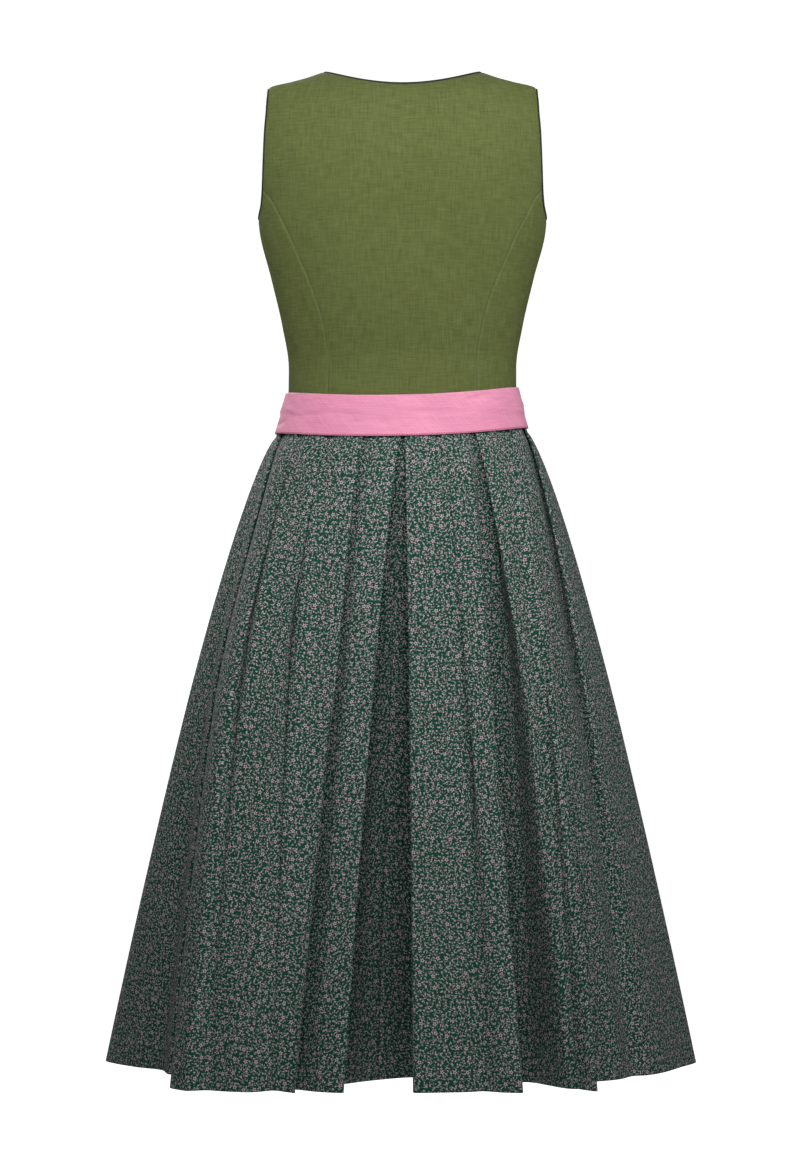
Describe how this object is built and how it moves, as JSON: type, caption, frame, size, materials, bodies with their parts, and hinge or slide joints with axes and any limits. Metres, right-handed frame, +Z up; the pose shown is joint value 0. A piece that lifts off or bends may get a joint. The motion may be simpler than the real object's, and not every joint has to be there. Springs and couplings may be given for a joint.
{
  "type": "dirndl dress",
  "caption": "Sleeveless dirndl dress with a fitted bodice, princess seams, a plain waist sash and a knee-length pleated skirt, in its hollow worn form.",
  "frame": {"origin": "middle of the shoulder line, level with the middle of the shoulder seams, where the wearer carries the dress", "axes": "+Z up the body, -Y towards the front of the dress, +X to the wearer's left"},
  "size_m": [0.6267, 0.5425, 1.0485],
  "materials": {
    "olive_linen": "matt plain-woven linen with fine slubs",
    "dark_piping": "matt bias-cut cord piping",
    "pink_sash": "smooth plain cotton satin, faintly creased",
    "printed_cotton": "fine plain-woven cotton with a small all-over sprig print, slightly crisp",
    "button_horn": "plain dull horn"
  },
  "bodies": {
    "root": {"bodice_back_centre": "olive_linen", "bodice_back_side_left": "olive_linen", "bodice_back_side_right": "olive_linen", "bodice_front_side_left": "olive_linen", "bodice_front_side_right": "olive_linen", "bodice_front_centre_left": "olive_linen", "bodice_front_centre_right": "olive_linen", "neck_piping": "dark_piping", "armhole_piping_left": "dark_piping", "armhole_piping_right": "dark_piping", "waist_sash": "pink_sash", "skirt_back_left": "printed_cotton", "skirt_back_right": "printed_cotton", "skirt_front_right": "printed_cotton", "skirt_front_left": "printed_cotton", "button_1": "button_horn", "button_2": "button_horn", "button_3": "button_horn", "button_4": "button_horn", "button_5": "button_horn", "button_6": "button_horn", "button_7": "button_horn"}
  },
  "joints": []
}
